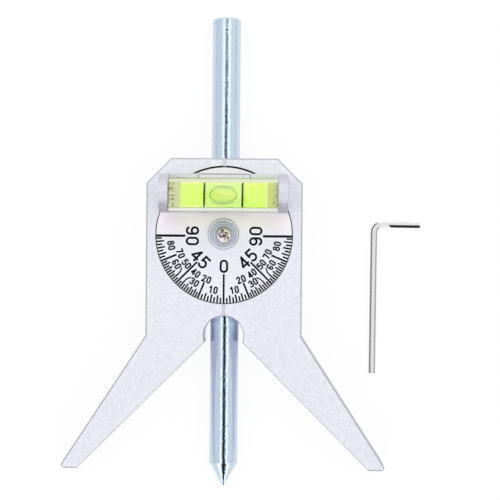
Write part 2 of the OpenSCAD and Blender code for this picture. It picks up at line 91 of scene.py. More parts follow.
def darker(colour, share):
    """A colour with its light brought down to that share."""
    return tuple(share * c for c in colour[:3]) + (1.0,)


class Shader:
    """Builds the nodes of one material or world, one call for each node."""

    def __init__(self, tree):
        self.tree = tree
        tree.nodes.clear()

    def feed(self, socket, value):
        """Links an input to another node's output, or sets it to a value."""
        if isinstance(value, bpy.types.NodeSocket):
            self.tree.links.new(value, socket)
        else:
            socket.default_value = value

    def add(self, kind, inputs=None, **settings):
        node = self.tree.nodes.new("ShaderNode" + kind)
        for name, value in settings.items():
            setattr(node, name, value)
        for key, value in (inputs or {}).items():
            self.feed(node.inputs[key], value)
        return node

    def math(self, operation, a, b=0.0, c=0.0):
        return self.add("Math", {0: a, 1: b, 2: c}, operation=operation).outputs[0]

    def opposite(self, mask):
        return self.math("SUBTRACT", 1.0, mask)

    def noise(self, vector, size, detail=2.0, roughness=0.5):
        """Noise whose grains are about size metres across, from 0 to 1."""
        values = {"Vector": vector, "Scale": 1 / size, "Detail": detail, "Roughness": roughness}
        return self.add("TexNoise", values).outputs["Fac"]

    def waves(self, value, pitch):
        """A wave from -1 to 1 that repeats at every pitch."""
        return self.math("SINE", self.math("MULTIPLY", value, 2 * math.pi / pitch))

    def fit(self, value, low, high, to_low, to_high, smooth=False):
        """The value, taken from one range to another and kept inside it."""
        kind = "SMOOTHSTEP" if smooth else "LINEAR"
        values = {0: value, 1: low, 2: high, 3: to_low, 4: to_high}
        return self.add("MapRange", values, interpolation_type=kind, clamp=True).outputs[0]

    def above(self, value, low, high, smooth=False):
        """A mask that is 0 up to low, 1 from high on, and a ramp between them."""
        return self.fit(value, low, high, 0.0, 1.0, smooth)

    def under(self, value, low, high, smooth=False):
        """A mask that is 1 up to low, 0 from high on, and a ramp between them."""
        return self.fit(value, low, high, 1.0, 0.0, smooth)

    def near(self, value, low, high, soft):
        """A mask that is 1 where the value is from low to high, and 0 from a soft width outside that."""
        return self.math("MULTIPLY", self.above(value, low - soft, low), self.under(value, high, high + soft))

    def spread(self, noise, to_low, to_high):
        """Noise, which lies mostly from 0.3 to 0.7, taken to another range."""
        return self.fit(noise, 0.3, 0.7, to_low, to_high)

    def all_of(self, first, *others):
        """The product of masks."""
        for mask in others:
            first = self.math("MULTIPLY", first, mask)
        return first

    def mix(self, share, a, b, blend="MIX"):
        """A mix of two colours."""
        node = self.add("Mix", {"Factor": share}, data_type="RGBA", blend_type=blend)
        self.feed(node.inputs[6], a)
        self.feed(node.inputs[7], b)
        return node.outputs[2]

    def times(self, colour, tone):
        """The product of two colours."""
        return self.mix(1.0, colour, tone, "MULTIPLY")

    def shade(self, colour, tone, where):
        """The colour times a tone, where the mask is 1."""
        return self.times(colour, self.mix(where, grey(1.0), tone))

    def grey_of(self, value):
        return self.add("CombineColor", {0: value, 1: value, 2: value}).outputs[0]

    def bump(self, height, distance, strength, normal=None):
        values = {"Height": height, "Distance": distance, "Strength": strength}
        if normal is not None:
            values["Normal"] = normal
        return self.add("Bump", values).outputs[0]

    def edges(self, radius):
        """Normals that round sharp edges over a small radius."""
        return self.add("Bevel", {"Radius": radius}, samples=6).outputs[0]

    def place(self):
        """A point's place on the piece, in metres."""
        return self.add("TexCoord").outputs["Object"]

    def parts(self, vector):
        """The three parts of a vector."""
        return tuple(self.add("SeparateXYZ", {0: vector}).outputs)

    def facing(self):
        """The way that the face itself points, as three parts."""
        return self.parts(self.add("NewGeometry").outputs["True Normal"])

    def length(self, a, b):
        """The length of a line with these two parts."""
        return self.math("SQRT", self.math("ADD", self.math("MULTIPLY", a, a), self.math("MULTIPLY", b, b)))

    def radius_from(self, x, y, centre):
        return self.length(self.math("SUBTRACT", x, centre[0]), self.math("SUBTRACT", y, centre[1]))

    def from_rounded_box(self, x, y, centre, half_x, half_y, corner):
        """How far a point lies outside a rectangle with round corners."""
        over = []
        for value, middle, half in ((x, centre[0], half_x), (y, centre[1], half_y)):
            away = self.math("ABSOLUTE", self.math("SUBTRACT", value, middle))
            over.append(self.math("MAXIMUM", self.math("SUBTRACT", away, half - corner), 0.0))
        return self.math("SUBTRACT", self.length(*over), corner)


MATERIALS = {}


def principled(name, build, **values):
    """Makes a material. Its build(shader) gives the inputs that vary, and the other values are uniform."""
    made = bpy.data.materials.new(name)
    made.use_nodes = True
    shader = Shader(made.node_tree)
    inputs = {key.replace("_", " "): value for key, value in values.items()}
    inputs.update(build(shader))
    bsdf = shader.add("BsdfPrincipled", inputs)
    shader.add("OutputMaterial", {"Surface": bsdf.outputs[0]})
    MATERIALS[name] = made


# Finishes that several pieces share

SATIN_DEPTH = 0.012 * MM
LINE_DEPTH = 0.004 * MM
TURNING_DEPTH = 0.002 * MM
CLOUD_SIZE = 14 * MM
RIPPLE_SIZE = 0.55 * MM
STAIN_SIZE = 1.2 * MM


def satin_metal(colour, grain, rough, edge, speckle_share):
    """Blasted and anodised metal: fine speckle, a faint cloudiness, and rounded edges."""
    def build(s):
        at = s.place()
        speckle = s.noise(at, grain, 3.0, 0.65)
        light = s.spread(speckle, 1 - speckle_share, 1 + speckle_share / 2)
        light = s.math("MULTIPLY", light, s.spread(s.noise(at, CLOUD_SIZE), 0.985, 1.0))
        return {
            "Base Color": s.times(colour, s.grey_of(light)),
            "Roughness": s.spread(speckle, rough - 0.03, rough + 0.04),
            "Normal": s.bump(speckle, SATIN_DEPTH, 0.5, s.edges(edge)),
        }
    return build


def drawn_metal(colour, rough, streak, run, ripple):
    """Plated bar drawn along Y: fine lines along it, slight changes of tone, and a ripple in its surface."""
    def build(s):
        at = s.place()
        stretched = s.add("VectorMath", {0: at, 1: (1.0, streak / run, 1.0)}, operation="MULTIPLY").outputs[0]
        lines = s.noise(stretched, streak, 4.0, 0.6)
        bands = s.noise(stretched, 5 * streak)
        waves = s.bump(s.noise(at, RIPPLE_SIZE, 1.0), ripple, 1.0, s.edges(0.08 * MM))
        return {
            "Base Color": s.mix(s.above(bands, 0.35, 0.65), colour, darker(colour, 0.93)),
            "Roughness": s.spread(lines, rough, rough + 0.08),
            "Normal": s.bump(lines, LINE_DEPTH, 0.6, waves),
        }
    return build


def turned_metal(colour, rough, centre, pitch, stains):
    """Plated metal with faint turning marks round an upright axis."""
    def build(s):
        at = s.place()
        x, y, _ = s.parts(at)
        turning = s.waves(s.radius_from(x, y, centre), pitch)
        stain = s.noise(at, STAIN_SIZE, 3.0)
        return {
            "Base Color": s.mix(s.fit(stain, 0.35, 0.7, 0.0, stains), colour, darker(colour, 0.8)),
            "Roughness": s.spread(stain, rough, rough + 0.08),
            "Normal": s.bump(turning, TURNING_DEPTH, 0.5, s.edges(0.06 * MM)),
        }
    return build


def plain_finish(colour, other, grain, rough):
    """Paint, plastic or steel: one colour that drifts a little towards another, with a fine grain."""
    def build(s):
        at = s.place()
        drift = s.noise(at, 8 * grain, 3.0)
        fine = s.noise(at, grain)
        return {
            "Base Color": s.mix(s.above(drift, 0.35, 0.7), colour, other),
            "Roughness": s.spread(fine, rough - 0.05, rough + 0.08),
            "Normal": s.bump(fine, LINE_DEPTH, 0.5),
        }
    return build


def shade_all(s, values, shades):
    """Paints light and shade into a finish's colour by a list of (mask, tone)."""
    for where, tone in shades:
        values["Base Color"] = s.shade(values["Base Color"], tone, where)
    return values


# Aluminium

ALUMINIUM = srgb(236, 236, 245)
DIAL_FACE = srgb(239, 239, 247)
# Painted light on the dial by the vial
DIAL_PAINTED_LIGHT = srgb(255, 248, 255)
SATIN_ROUGH = 0.58
# Widths of the painted shadow in the gap and on the lip behind the vial
GAP_W = 0.4 * MM
LIP_W = 0.62 * MM
PAD_LINE_CORNER = 0.6 * MM


def edge_shades(s, x, y, z):
    """Painted shade in grey on the outer walls and bevels, the arch's bevels, and the lower part of the V's front
    bevels.
    """
    nx, ny, nz = s.facing()
    level = s.math("ABSOLUTE", nz)
    bevel = s.near(level, 0.4, 0.93, 0.02)
    wall = s.under(level, 0.2, 0.3)
    in_v = s.all_of(s.under(ny, -0.4, -0.3), s.above(s.math("ABSOLUTE", nx), 0.3, 0.4))
    in_arch = s.under(s.radius_from(x, y, ARCH_CENTRE), ARCH_R + 0.3 * MM, ARCH_R + 0.4 * MM)
    not_arch = s.opposite(in_arch)
    outer = s.all_of(s.opposite(in_v), not_arch)
    below_front = s.under(z, HEAD_FRONT - 0.4 * MM, HEAD_FRONT - 0.34 * MM)
    # Painted shade on the head's edges
    return [
        (s.all_of(bevel, outer), grey(0.68)),
        (s.all_of(wall, outer), grey(0.66)),
        (s.all_of(bevel, in_arch), grey(0.5)),
        (s.all_of(bevel, in_v, not_arch, below_front), grey(0.5)),
    ]


def recess_shades(s, x, y, z):
    """Painted shadow in black in the gap round the dial and on its lip behind the vial, and painted shade in grey on
    the index lines' edges.
    """
    from_middle = s.math("ABSOLUTE", x)
    from_pivot = s.radius_from(x, y, PIVOT)
    above_floor = s.above(z, RECESS_FLOOR - 0.4 * MM, RECESS_FLOOR - 0.2 * MM)
    # Painted shadow in the gap round the dial
    gap = s.all_of(
        s.under(from_pivot, DIAL_RIM + GAP_W, DIAL_RIM + GAP_W + 0.02 * MM),
        above_floor,
        s.under(z, HEAD_FRONT - 0.03 * MM, HEAD_FRONT - 0.01 * MM),
        s.fit(y, -14 * MM, 2 * MM, 0.35, 1.0),
    )
    # Painted shadow on the head's lip behind the vial
    lip = s.all_of(
        s.under(from_pivot, DIAL_RIM + LIP_W, DIAL_RIM + LIP_W + 0.04 * MM),
        s.above(y, 8 * MM, 18 * MM),
        s.above(from_middle, INDEX_HALF_W, INDEX_HALF_W + 0.1 * MM),
        above_floor,
    )
    # Painted shade on the index lines' edges
    index_edge_shade = s.all_of(
        s.near(from_middle, INDEX_HALF_W - 0.05 * MM, INDEX_HALF_W + 0.06 * MM, 0.02 * MM),
        s.above(z, HEAD_FRONT - 0.4 * MM, HEAD_FRONT - 0.35 * MM),
        s.above(from_pivot, DIAL_RIM + 0.5 * MM, DIAL_RIM + 0.6 * MM),
    )
    return [(gap, grey(0.02)), (lip, grey(0.01)), (index_edge_shade, grey(0.5))]


def head_finish(s):
    """Satin aluminium, a little lighter behind the dial by painted light, with painted shade on its edges, gap and
    index lines.
    """
    values = satin_metal(ALUMINIUM, 0.55 * MM, SATIN_ROUGH, 0.12 * MM, 0.14)(s)
    x, y, z = s.parts(s.place())
    # Painted light: the plate behind the dial is made a little lighter
    lighter = [(s.above(y, 14 * MM, 24 * MM), grey(1.09))]
    return shade_all(s, values, lighter + edge_shades(s, x, y, z) + recess_shades(s, x, y, z))


def dial_finish(s):
    """Satin aluminium, with painted light by the vial and a painted dark rim that stands in the shadow of the gap.
    """
    values = satin_metal(DIAL_FACE, 0.5 * MM, SATIN_ROUGH, 0.04 * MM, 0.12)(s)
    x, y, z = s.parts(s.place())
    # Painted light: the dial is brightened by the vial, against the vial's shade
    painted_light_by_vial = s.math("MULTIPLY", s.above(y, -2 * MM, 5 * MM), 0.85)
    values["Base Color"] = s.mix(painted_light_by_vial, values["Base Color"], DIAL_PAINTED_LIGHT)
    # Painted shadow of the gap on the dial's rim
    rim = s.all_of(
        s.under(z, HEAD_FRONT - 0.06 * MM, HEAD_FRONT - 0.03 * MM),
        s.above(s.radius_from(x, y, PIVOT), DIAL_RIM - 0.05 * MM, DIAL_RIM - 0.03 * MM),
    )
    return shade_all(s, values, [(rim, grey(0.06))])


def holder_finish(s):
    """Satin aluminium with painted shade: the posts a little darker, mottled grey on the posts' near ends, and a
    thin line of shadow round the pad.
    """
    values = satin_metal(ALUMINIUM, 0.5 * MM, 0.6, 0.2 * MM, 0.12)(s)
    at = s.place()
    x, y, z = s.parts(at)
    from_pad = s.from_rounded_box(x, y, PAD_CENTRE, PAD_HALF_X, PAD_HALF_Y, PAD_LINE_CORNER)
    low = s.under(z, BLOCK_LOW.z + 0.1 * MM, BLOCK_LOW.z + 0.2 * MM)
    high = s.above(z, BLOCK_LOW.z + 1 * MM, BLOCK_LOW.z + 2 * MM)
    # Painted shade, mottled, on the posts' near ends
    mottled_shade = s.fit(s.noise(at, 0.9 * MM, 3.0, 0.6), 0.42, 0.58, 0.2, 1.0)
    near_end = s.under(y, 10.8 * MM, 12.4 * MM)
    # Painted shade: the line round the pad, the darker posts and their mottled near ends
    return shade_all(s, values, [
        (s.all_of(s.near(from_pad, -0.32 * MM, 0.02 * MM, 0.05 * MM), low), grey(0.48)),
        (high, grey(0.88)),
        (s.all_of(mottled_shade, near_end, high), (0.72, 0.72, 0.77, 1.0)),
    ])


# Plated steel

ZINC = srgb(204, 221, 238)
WASHER_ZINC = srgb(189, 194, 207)
# Painted highlight on the washer's lip, and the pitch of its painted rings of light and shade
WASHER_LIP_HIGHLIGHT = srgb(226, 230, 240)
WASHER_SHADE_RING_PITCH = 0.95 * MM
NICKEL = srgb(252, 247, 245)
KEY_NICKEL = srgb(250, 249, 248)
CROSS_PINK = srgb(246, 226, 226)
# Painted shade in the screw's cross and on its walls
CROSS_SHADE = srgb(20, 14, 16)
CROSS_WALL_SHADE = srgb(74, 62, 62)
CROSS_FROM_DEPTH, CROSS_TO_DEPTH = 0.3 * MM, 0.6 * MM
# Where the key's painted dark reflection starts past the corner
KEY_DARK_REFLECTION_FROM = 5 * MM


def washer_finish(s):
    """Blue zinc with painted rings of light and shade, a painted highlight on its lip, and a thin painted shadow at
    its outer edge.
    """
    centre = (WASHER_CENTRE.x, WASHER_CENTRE.y)
    values = turned_metal(WASHER_ZINC, 0.36, centre, 0.3 * MM, 0.5)(s)
    x, y, _ = s.parts(s.place())
    radius = s.radius_from(x, y, centre)
    # Painted light and shade in rings across the web
    rings = s.fit(s.waves(radius, WASHER_SHADE_RING_PITCH), -1.0, 1.0, 0.84, 1.06)
    web = s.times(values["Base Color"], s.grey_of(rings))
    # Painted highlight on the washer's lip
    lip = s.near(radius, WASHER_R - 0.42 * MM, WASHER_R - 0.22 * MM, 0.07 * MM)
    values["Base Color"] = s.mix(lip, web, WASHER_LIP_HIGHLIGHT)
    # Painted shadow at the washer's outer edge
    return shade_all(s, values, [(s.above(radius, WASHER_R - 0.12 * MM, WASHER_R - 0.08 * MM), grey(0.2))])


def pan_screw_finish(s):
    """Nickel with painted dark reflections and painted shade round its rim, duller and pinkish in the cross, with
    painted shade in dark speckles and on the cross's walls.
    """
    values = turned_metal(NICKEL, 0.26, PIVOT, 0.4 * MM, 0.1)(s)
    at = s.place()
    x, y, z = s.parts(at)
    nz = s.facing()[2]
    from_axis = s.radius_from(x, y, PIVOT)
    # Painted dark reflections on the screw's head
    dark_reflections = s.all_of(
        s.above(s.noise(at, 1.0 * MM, 2.0, 0.4), 0.54, 0.57),
        s.near(from_axis, 1.0 * MM, 2.2 * MM, 0.2 * MM),
    )
    # Painted shade round the head's rim, and the painted dark reflections
    shade_all(s, values, [
        (s.above(from_axis, 2.3 * MM, 2.6 * MM), grey(0.6)),
        (dark_reflections, (0.1, 0.08, 0.07, 1.0)),
    ])
    inside = s.all_of(
        s.under(from_axis, 1.9 * MM, 2.0 * MM),
        s.under(z, SCREW_TOP - CROSS_TO_DEPTH, SCREW_TOP - CROSS_FROM_DEPTH),
    )
    # Painted shade in the cross: dark speckles, and darker steep walls
    shade_speckle = s.above(s.noise(at, 0.85 * MM), 0.47, 0.51)
    steep = s.under(nz, 0.35, 0.6)
    cross = s.mix(steep, s.mix(shade_speckle, CROSS_PINK, CROSS_SHADE), CROSS_WALL_SHADE)
    values["Base Color"] = s.mix(inside, values["Base Color"], cross)
    values["Roughness"] = s.mix(inside, values["Roughness"], grey(0.6))
    return values


def key_finish(s):
    """Nickel, white on the flat that faces up and grey beside it in painted shade, with a painted dark reflection on
    the short arm's near half.
    """
    values = drawn_metal(KEY_NICKEL, 0.3, 0.2 * MM, 14 * MM, 0.0)(s)
    x, y, z = s.parts(s.place())
    nx = s.facing()[0]
    along = s.math("SUBTRACT", x, KEY_CORNER[0])
    arm_middle = s.math("MULTIPLY_ADD", along, -KEY_SLOPE, KEY_CORNER[1])
    over_middle = s.math("SUBTRACT", y, arm_middle)
    past_bend = s.math("SUBTRACT", along, s.math("MULTIPLY_ADD", over_middle, -1.0, KEY_DARK_REFLECTION_FROM))
    # Painted dark reflection on the short arm's near half
    dark = s.all_of(
        s.above(past_bend, -0.3 * MM, 0.3 * MM),
        s.under(over_middle, -0.25 * MM, -0.1 * MM),
        s.above(over_middle, -3 * MM, -2.5 * MM),
        s.above(z, 0.4 * MM, 0.6 * MM),
    )
    # Painted shade on the side flats, darker on one side
    side_shade = s.mix(s.under(nx, 0.0, 0.1), grey(0.36), grey(0.24))
    values["Roughness"] = s.mix(dark, values["Roughness"], grey(0.8))
    return shade_all(s, values, [
        (s.above(s.math("ABSOLUTE", nx), 0.3, 0.5), side_shade),
        (dark, grey(0.01)),
    ])


# Level vial

BLOCK_IOR = 1.49
LIQUID_IOR = 1.36
# Painted glow of the liquid, which is no lamp
LIQUID_PAINTED_GLOW = 0.39
ARC_BOW_PER_M = 55.0
CLEAR_TINT = srgb(250, 253, 246)
PLUG_INNER = srgb(222, 224, 206)


def block_layers(s):
    """What lies on the clear block's top, from the lowest layer up: (mask, tone, how much of the block it hides)."""
    at = s.place()
    x, y, _ = s.parts(at)
    speckle = s.above(s.noise(at, 0.8 * MM, 4.0, 0.7), 0.4, 0.6)
    from_left = s.math("SUBTRACT", x, BLOCK_LOW.x)
    from_right = s.math("SUBTRACT", BLOCK_HIGH.x, x)
    across = s.math("SUBTRACT", y, BORE_CENTRE.y)
    strips = s.opposite(s.under(s.math("ABSOLUTE", across), 4.3 * MM, 4.4 * MM))
    strip_tone = s.mix(s.above(across, 0.0, 0.01 * MM), srgb(236, 239, 233), srgb(227, 232, 210))
    glue_left = s.mix(speckle, srgb(228, 232, 190), srgb(150, 146, 92))
    dark_glue = s.mix(s.above(across, -3 * MM, 2 * MM), srgb(136, 136, 72), srgb(164, 172, 118))
    glue_right = s.mix(speckle, srgb(206, 214, 156), dark_glue)
    # Painted reflection of the liquid on the block's far edge
    far_edge_reflection = s.mix(s.under(x, -8 * MM, -3 * MM), srgb(160, 168, 136), srgb(142, 142, 84))
    return [
        # A band and glue at the left end, then at the right end
        (s.under(from_left, 4.2 * MM, 4.35 * MM), srgb(214, 226, 164), 0.75),
        (s.under(from_left, 2.4 * MM, 2.7 * MM), glue_left, 0.85),
        (s.under(from_right, 3.6 * MM, 4.6 * MM), srgb(196, 202, 116), 0.88),
        (s.under(from_right, 1.7 * MM, 2.1 * MM), glue_right, 0.85),
        # The strips beside the bore, and painted shade and light on the bore's two edges
        (strips, strip_tone, 0.78),
        (s.near(across, -4.5 * MM, -4.25 * MM, 0.08 * MM), srgb(164, 170, 106), 0.9),
        (s.near(across, 4.25 * MM, 4.4 * MM, 0.08 * MM), srgb(205, 216, 150), 0.7),
        # Painted shade and reflection on the block's near, far, left and right edges
        (s.under(y, BLOCK_LOW.y + 0.26 * MM, BLOCK_LOW.y + 0.34 * MM), srgb(160, 163, 168), 0.9),
        (s.above(y, BLOCK_HIGH.y - 0.36 * MM, BLOCK_HIGH.y - 0.28 * MM), far_edge_reflection, 0.9),
        (s.under(from_left, 0.26 * MM, 0.36 * MM), srgb(122, 122, 66), 0.9),
        (s.under(from_right, 0.2 * MM, 0.3 * MM), srgb(168, 172, 140), 0.8),
    ]


def clear_block(s):
    """Clear acrylic. Its top face is stained by glue at both ends, its walls beside the bore look pale, and painted
    shade and reflection lie on its polished edges and on the bore's edges.
    """
    z = s.parts(s.place())[2]
    on_top = s.above(z, BLOCK_HIGH.z - 0.3 * MM, BLOCK_HIGH.z - 0.26 * MM)
    colour, cover = CLEAR_TINT, grey(0.0)
    for mask, tone, strength in block_layers(s):
        mask = s.all_of(mask, on_top)
        colour = s.mix(mask, colour, tone)
        cover = s.mix(mask, cover, grey(strength))
    return {
        "Base Color": colour,
        "Roughness": s.fit(cover, 0.0, 1.0, 0.02, 0.3),
        "Transmission Weight": s.opposite(cover),
    }


def green_liquid(s):
    """Yellow-green liquid with a painted glow, greener between the lines, with the bubble's outline and arcs of
    shade painted on its top.
    """
    at = s.place()
    x, y, z = s.parts(at)
    along = s.math("ABSOLUTE", x)
    across = s.math("ABSOLUTE", s.math("SUBTRACT", y, BORE_CENTRE.y))
    top = s.above(z, BORE_CENTRE.z, BORE_CENTRE.z + 0.5 * MM)
    dye = s.mix(s.spread(s.noise(at, 5 * MM), 0.0, 1.0), srgb(221, 248, 128), srgb(214, 243, 116))
    between = s.under(along, LINES_RIGHT - 0.8 * MM, LINES_RIGHT)
    colour = s.mix(between, dye, srgb(212, 236, 152))

    # Painted shade in arcs across the liquid's top
    bowed = s.math("MULTIPLY_ADD", s.math("MULTIPLY", along, along), ARC_BOW_PER_M, across)
    shade_arcs = s.all_of(s.above(across, 2.1 * MM, 2.4 * MM), s.under(bowed, 3.0 * MM, 3.6 * MM), top)
    colour = s.mix(shade_arcs, colour, srgb(180, 192, 146))

    # Painted light and shade of the bubble seen from above: a pale inside and a dark outline
    past_run = s.math("MAXIMUM", s.math("SUBTRACT", along, BUBBLE_RUN), 0.0)
    from_bubble = s.length(past_run, across)
    colour = s.mix(s.all_of(s.under(from_bubble, 1.3 * MM, 1.6 * MM), top), colour, srgb(214, 226, 134))
    ends = s.fit(along, 1.5 * MM, 3.8 * MM, 0.3, 1.0)
    bubble_ring_shade = s.all_of(s.near(from_bubble, 1.65 * MM, 1.95 * MM, 0.14 * MM), ends, top)
    colour = s.mix(bubble_ring_shade, colour, srgb(140, 180, 70))
    # Painted glow: the liquid emits its own colour
    return {"Base Color": colour, "Emission Color": colour, "Emission Strength": LIQUID_PAINTED_GLOW}


def bubble_skin(s):
    return {"Base Color": srgb(250, 255, 225)}


def end_plug(s):
    """Speckled amber plastic, paler where it meets the liquid."""
    at = s.place()
    x = s.parts(at)[0]
    speckle = s.noise(at, 0.6 * MM, 4.0, 0.7)
    amber = s.mix(s.above(speckle, 0.4, 0.62), srgb(228, 214, 150), srgb(140, 112, 40))
    outer_end = s.under(x, BLOCK_LOW.x + 1.8 * MM, BLOCK_LOW.x + 2.6 * MM, True)
    return {
        "Base Color": s.mix(outer_end, PLUG_INNER, amber),
        "Roughness": s.spread(speckle, 0.3, 0.5),
        "Normal": s.bump(speckle, 0.05 * MM, 0.5),
    }


punch_finish = drawn_metal(ZINC, 0.06, 0.12 * MM, 9 * MM, 0.06 * MM)
bush_finish = turned_metal(WASHER_ZINC, 0.3, PIVOT, 0.16 * MM, 0.5)
screw_finish = turned_metal(NICKEL, 0.2, PIVOT, 0.3 * MM, 0.5)
spring_finish = plain_finish(srgb(150, 150, 154), srgb(128, 127, 128), 0.3 * MM, 0.35)
oxide_finish = plain_finish(srgb(38, 37, 39), srgb(56, 53, 51), 0.2 * MM, 0.42)
brass_finish = plain_finish(srgb(205, 170, 96), srgb(182, 146, 76), 0.2 * MM, 0.3)
nylon_finish = plain_finish(srgb(233, 229, 214), srgb(220, 215, 198), 0.4 * MM, 0.45)
dial_ink_finish = plain_finish(srgb(8, 7, 11), srgb(20, 19, 24), 0.15 * MM, 0.5)
line_ink_finish = plain_finish(srgb(6, 12, 3), srgb(18, 30, 8), 0.2 * MM, 0.5)

principled("head_aluminium", head_finish, Metallic=1.0)
principled("dial_aluminium", dial_finish, Metallic=1.0)
principled("holder_aluminium", holder_finish, Metallic=1.0)
principled("punch_zinc", punch_finish, Metallic=1.0)
principled("washer_zinc", washer_finish, Metallic=1.0)
principled("bush_zinc", bush_finish, Metallic=1.0)
principled("pan_nickel", pan_screw_finish, Metallic=0.6)
principled("screw_nickel", screw_finish, Metallic=1.0)
principled("key_nickel", key_finish, Metallic=0.5)
principled("spring_steel", spring_finish, Metallic=1.0)
principled("black_oxide", oxide_finish, Metallic=0.6)
principled("turned_brass", brass_finish, Metallic=1.0)
principled("nylon", nylon_finish, Metallic=0.0)
principled("dial_ink", dial_ink_finish, Metallic=0.0, Specular_IOR_Level=0.1)
principled("line_ink", line_ink_finish, Metallic=0.0, Specular_IOR_Level=0.1)
principled("plug_olive", end_plug, Metallic=0.0)
principled("clear_acrylic", clear_block, Metallic=0.0, IOR=BLOCK_IOR)
principled(
    "liquid", green_liquid, Metallic=0.0, Roughness=0.0, IOR=LIQUID_IOR / BLOCK_IOR, Transmission_Weight=0.35,
)
principled("bubble_skin", bubble_skin, Metallic=0.0, Roughness=0.0, IOR=LIQUID_IOR, Transmission_Weight=1.0)

DRESSED = {
    "head_body": "head_aluminium",
    "dial": "dial_aluminium",
    "vial_holder": "holder_aluminium",
    "center_punch": "punch_zinc",
    "dial_bush": "bush_zinc",
    "dial_screw": "pan_nickel",
    "dial_friction_washer": "spring_steel",
    "holder_screws": "screw_nickel",
    "dial_lock_screw": "black_oxide",
    "punch_drag_screw": "black_oxide",
    "dial_lock_tip": "turned_brass",
    "punch_drag_pad": "nylon",
    "vial_lines": "line_ink",
    "vial_end_plug": "plug_olive",
    "hex_key": "key_nickel",
}
for node, material in DRESSED.items():
    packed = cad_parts[node].data
    packed.materials.clear()
    packed.materials.append(MATERIALS[material])


# New pieces

SHARP_DEG = 40
SURFACE_TOLERANCE = 0.005 * MM
INK_BELOW_FACE = 0.02 * MM
INK_ABOVE_FLOOR = 0.02 * MM
ALL_FLAT = 0.0
ALL_SMOOTH = 1.0


def new_piece(name, mesh_from, material, body, smooth_under):
    """A piece made from a bmesh, which it frees, riding on a body. Faces under that area are shaded smooth."""
    mesh = bpy.data.meshes.new(name)
    mesh_from.to_mesh(mesh)
    mesh_from.free()
    for face in mesh.polygons:
        face.use_smooth = face.area < smooth_under
    mesh.set_sharp_from_angle(angle=math.radians(SHARP_DEG))
    piece = bpy.data.objects.new(name, mesh)
    bpy.context.scene.collection.objects.link(piece)
    mesh.materials.append(MATERIALS[material])
    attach(piece, body)
    return piece


def raise_faces(made, faces, height):
    """Turns flat faces into a closed solid of that height."""
    raised = bmesh.ops.extrude_face_region(made, geom=faces, use_keep_orig=True)
    verts = [g for g in raised["geom"] if isinstance(g, bmesh.types.BMVert)]
    bmesh.ops.translate(made, verts=verts, vec=(0, 0, height))
    bmesh.ops.recalc_face_normals(made, faces=made.faces)


def groove_fill(node, floor_z, top_z):
    """A solid that fills the engraved marks of a node, from just above their floor up to top_z."""
    made = bmesh.new()
    made.from_mesh(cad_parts[node].data)
    away = [
        f for f in made.faces
        if f.normal.z < 0.9 or any(abs(v.co.z - floor_z) > SURFACE_TOLERANCE for v in f.verts)
    ]
    bmesh.ops.delete(made, geom=away, context="FACES")
    bmesh.ops.remove_doubles(made, verts=made.verts, dist=0.001 * MM)
    bmesh.ops.translate(made, verts=made.verts, vec=(0, 0, INK_ABOVE_FLOOR))
    raise_faces(made, made.faces[:], top_z - floor_z - INK_ABOVE_FLOOR)
    return made


def rounded_block(low, high, corner, edge, corner_steps=6):
    """A block with round upright corners and a small bevel along its top and bottom."""
    made = bmesh.new()
    centres = [
        (high.x - corner, high.y - corner), (low.x + corner, high.y - corner),
        (low.x + corner, low.y + corner), (high.x - corner, low.y + corner),
    ]
    outline = []
    for turn, (x, y) in enumerate(centres):
        for i in range(corner_steps + 1):
            a = math.radians(90 * (turn + i / corner_steps))
            outline.append(made.verts.new((x + corner * math.cos(a), y + corner * math.sin(a), low.z)))
    raise_faces(made, [made.faces.new(outline)], high.z - low.z)
    level = [e for e in made.edges if abs(e.verts[0].co.z - e.verts[1].co.z) < SURFACE_TOLERANCE]
    bmesh.ops.bevel(made, geom=level, offset=edge, segments=2, profile=0.5, affect="EDGES")
    return made


def lathe(profile, axis, centre, steps=64):
    """A closed solid turned about an axis. The profile is a list of (place along the axis, radius)."""
    made = bmesh.new()
    to_place = {
        "x": lambda a, r, t: Vector((a, r * math.cos(t), r * math.sin(t))),
        "z": lambda a, r, t: Vector((r * math.cos(t), r * math.sin(t), a)),
    }[axis]
    rings = []
    for along, radius in profile:
        count = 1 if radius < 1e-9 else steps
        rings.append([
            made.verts.new(centre + to_place(along, radius, 2 * math.pi * i / count)) for i in range(count)
        ])
    for a, b in zip(rings, rings[1:]):
        for i in range(steps):
            j = (i + 1) % steps
            corners = [a[i % len(a)], a[j % len(a)], b[j % len(b)], b[i % len(b)]]
            made.faces.new(list(dict.fromkeys(corners)))
    bmesh.ops.recalc_face_normals(made, faces=made.faces)
    return made


def quarter(from_deg, to_deg, radius, centre_along, steps=8):
    """Points of a round corner in a lathe's profile."""
    turns = [math.radians(from_deg + (to_deg - from_deg) * i / steps) for i in range(steps + 1)]
    return [(centre_along + radius * math.cos(t), radius * math.sin(t)) for t in turns]


# The washer's profile from its foot over its lip and across its web, as (share of its height, way in from its rim)
WASHER_PROFILE = [
    (0.0, 0.05 * MM), (0.3, 0.0), (0.7, 0.0), (1.0, 0.2 * MM), (1.0, 0.38 * MM), (0.65, 0.62 * MM),
    (0.58, 1.2 * MM), (0.8, 1.5 * MM), (0.58, 1.75 * MM), (0.58, 2.0 * MM), (0.78, 2.25 * MM), (0.58, 2.5 * MM),
]
WASHER_HOLE_R = 2.1 * MM
WASHER_STEPS = 96


def dished_washer():
    """A dished washer with a rolled lip and two shallow rings around its web."""
    tall = WASHER_HIGH.z - WASHER_LOW.z
    points = [(WASHER_LOW.z + share * tall, WASHER_R - inward) for share, inward in WASHER_PROFILE]
    foot, web = (WASHER_LOW.z, WASHER_HOLE_R), (points[-1][0], WASHER_HOLE_R)
    axis_foot = Vector((WASHER_CENTRE.x, WASHER_CENTRE.y, 0))
    return lathe([foot, *points, web, foot], "z", axis_foot, WASHER_STEPS)


LIQUID_IN_RINGS = 0.05 * MM


